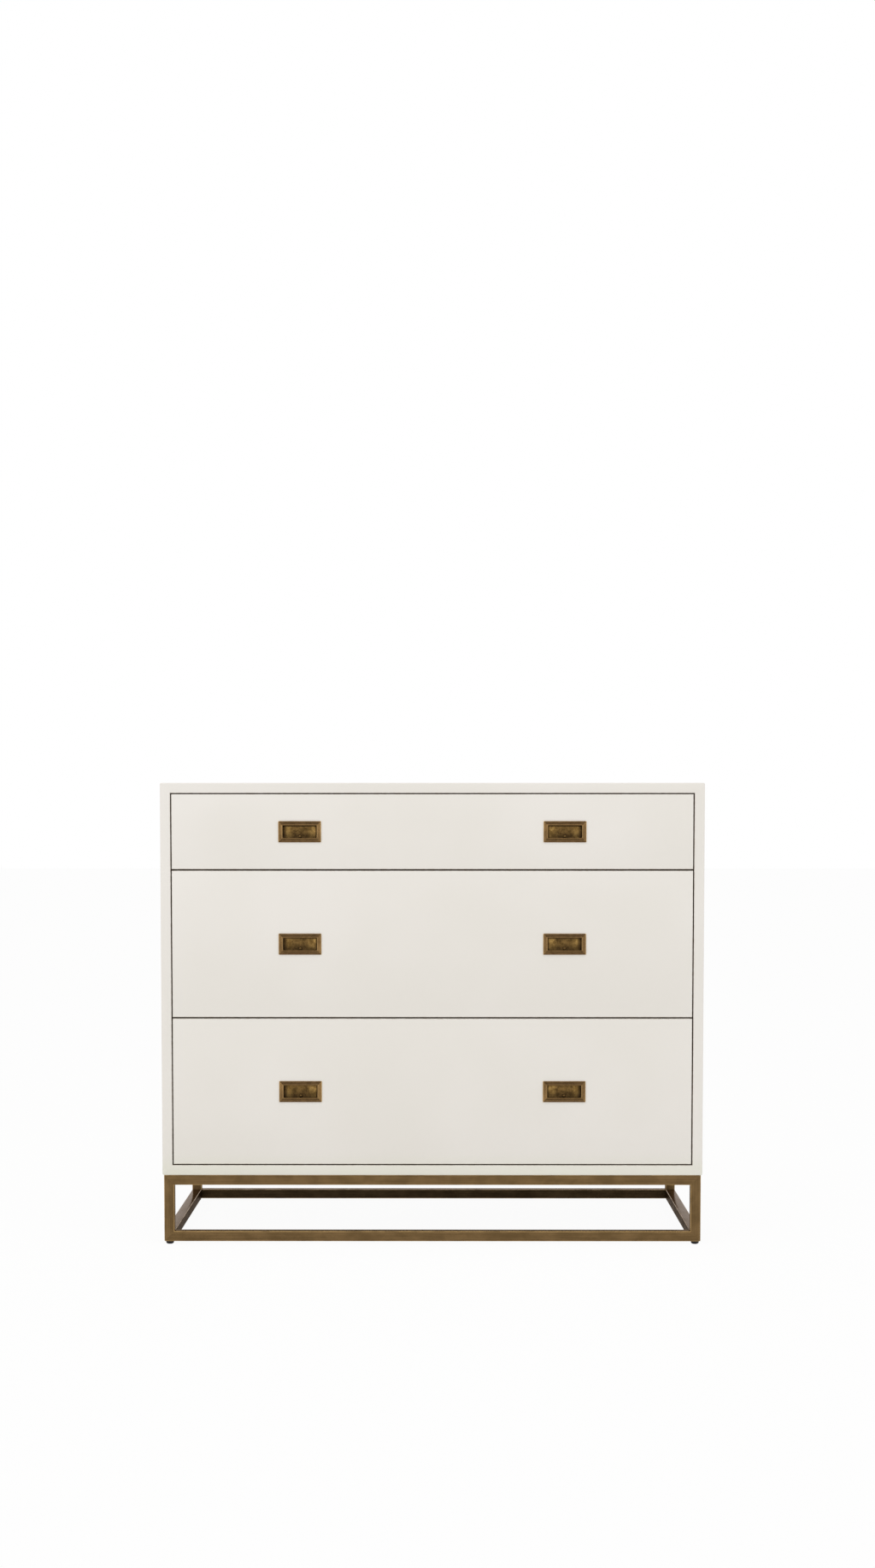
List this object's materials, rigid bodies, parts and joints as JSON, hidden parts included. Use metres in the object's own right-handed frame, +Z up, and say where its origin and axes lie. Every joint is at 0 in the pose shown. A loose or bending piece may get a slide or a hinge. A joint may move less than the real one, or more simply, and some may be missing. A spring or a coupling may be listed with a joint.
{
  "type": "campaign chest",
  "caption": "Low campaign chest: an ivory lacquered box with full-width inset drawers on slides and recessed brass pulls, on an open base of square bronze tube.",
  "frame": {"origin": "on the floor, under the centre of the case", "axes": "+X to the right seen from the front, +Y to the back, +Z up; the drawers open towards -Y"},
  "size_m": [1.016, 0.5101, 0.869],
  "materials": {
    "ivory_lacquer": "satin ivory lacquer on board",
    "back_board": "thin painted board",
    "stretcher_wood": "dark stained solid wood",
    "drawer_box_wood": "clear sealed solid wood",
    "drawer_bottom_board": "clear sealed plywood",
    "bronze_tube": "brushed antique bronze finish on square steel tube",
    "antique_brass": "cast and darkened, rubbed bright on the edges",
    "zinc_steel": "bright zinc plate",
    "glide_plastic": "moulded black nylon"
  },
  "bodies": {
    "root": {"top_panel": "ivory_lacquer", "bottom_panel": "ivory_lacquer", "left_side_panel": "ivory_lacquer", "right_side_panel": "ivory_lacquer", "back_panel": "back_board", "back_panel_screws": "zinc_steel", "upper_stretcher": "stretcher_wood", "lower_stretcher": "stretcher_wood", "front_upper_rail": "bronze_tube", "front_lower_rail": "bronze_tube", "front_left_leg": "bronze_tube", "front_right_leg": "bronze_tube", "rear_upper_rail": "bronze_tube", "rear_lower_rail": "bronze_tube", "rear_left_leg": "bronze_tube", "rear_right_leg": "bronze_tube", "left_upper_rail": "bronze_tube", "left_lower_rail": "bronze_tube", "right_upper_rail": "bronze_tube", "right_lower_rail": "bronze_tube", "base_bolts": "zinc_steel", "glide_weld_nuts": "zinc_steel", "slide_screws": "zinc_steel", "top_drawer_outer_runners": "zinc_steel", "middle_drawer_outer_runners": "zinc_steel", "bottom_drawer_outer_runners": "zinc_steel"},
    "front_left_glide": {"front_left_glide": "glide_plastic"},
    "front_right_glide": {"front_right_glide": "glide_plastic"},
    "rear_left_glide": {"rear_left_glide": "glide_plastic"},
    "rear_right_glide": {"rear_right_glide": "glide_plastic"},
    "top_drawer": {"top_drawer_front": "ivory_lacquer", "top_drawer_left_side": "drawer_box_wood", "top_drawer_left_pull": "antique_brass", "top_drawer_right_side": "drawer_box_wood", "top_drawer_right_pull": "antique_brass", "top_drawer_back": "drawer_box_wood", "top_drawer_bottom": "drawer_bottom_board", "top_drawer_pull_nuts": "zinc_steel", "top_drawer_inner_runners": "zinc_steel"},
    "top_middle_runners": {"top_drawer_middle_runners": "zinc_steel"},
    "middle_drawer": {"middle_drawer_front": "ivory_lacquer", "middle_drawer_left_side": "drawer_box_wood", "middle_drawer_left_pull": "antique_brass", "middle_drawer_right_side": "drawer_box_wood", "middle_drawer_right_pull": "antique_brass", "middle_drawer_back": "drawer_box_wood", "middle_drawer_bottom": "drawer_bottom_board", "middle_drawer_pull_nuts": "zinc_steel", "middle_drawer_inner_runners": "zinc_steel"},
    "middle_middle_runners": {"middle_drawer_middle_runners": "zinc_steel"},
    "bottom_drawer": {"bottom_drawer_front": "ivory_lacquer", "bottom_drawer_left_side": "drawer_box_wood", "bottom_drawer_left_pull": "antique_brass", "bottom_drawer_right_side": "drawer_box_wood", "bottom_drawer_right_pull": "antique_brass", "bottom_drawer_back": "drawer_box_wood", "bottom_drawer_bottom": "drawer_bottom_board", "bottom_drawer_pull_nuts": "zinc_steel", "bottom_drawer_inner_runners": "zinc_steel"},
    "bottom_middle_runners": {"bottom_drawer_middle_runners": "zinc_steel"}
  },
  "joints": [
    {"name": "top_drawer_slide", "type": "slide", "parent": "root", "child": "top_drawer", "axis": [0, -1, 0], "range_m": [0, 0.45]},
    {"name": "middle_drawer_slide", "type": "slide", "parent": "root", "child": "middle_drawer", "axis": [0, -1, 0], "range_m": [0, 0.45]},
    {"name": "bottom_drawer_slide", "type": "slide", "parent": "root", "child": "bottom_drawer", "axis": [0, -1, 0], "range_m": [0, 0.45]},
    {"name": "top_middle_runner_slide", "type": "slide", "parent": "root", "child": "top_middle_runners", "axis": [0, -1, 0], "range_m": [0, 0.225]},
    {"name": "middle_middle_runner_slide", "type": "slide", "parent": "root", "child": "middle_middle_runners", "axis": [0, -1, 0], "range_m": [0, 0.225]},
    {"name": "bottom_middle_runner_slide", "type": "slide", "parent": "root", "child": "bottom_middle_runners", "axis": [0, -1, 0], "range_m": [0, 0.225]},
    {"name": "front_left_glide_turn", "type": "hinge", "parent": "root", "child": "front_left_glide", "pos_m": [-0.496, -0.242, 0.006], "axis": [0, 0, 1], "range_deg": [0, 900]},
    {"name": "front_right_glide_turn", "type": "hinge", "parent": "root", "child": "front_right_glide", "pos_m": [0.496, -0.242, 0.006], "axis": [0, 0, 1], "range_deg": [0, 900]},
    {"name": "rear_left_glide_turn", "type": "hinge", "parent": "root", "child": "rear_left_glide", "pos_m": [-0.496, 0.242, 0.006], "axis": [0, 0, 1], "range_deg": [0, 900]},
    {"name": "rear_right_glide_turn", "type": "hinge", "parent": "root", "child": "rear_right_glide", "pos_m": [0.496, 0.242, 0.006], "axis": [0, 0, 1], "range_deg": [0, 900]}
  ],
  "couplings": [
    {"joint": "top_middle_runner_slide", "follows": "top_drawer_slide", "ratio": 0.5},
    {"joint": "middle_middle_runner_slide", "follows": "middle_drawer_slide", "ratio": 0.5},
    {"joint": "bottom_middle_runner_slide", "follows": "bottom_drawer_slide", "ratio": 0.5}
  ]
}
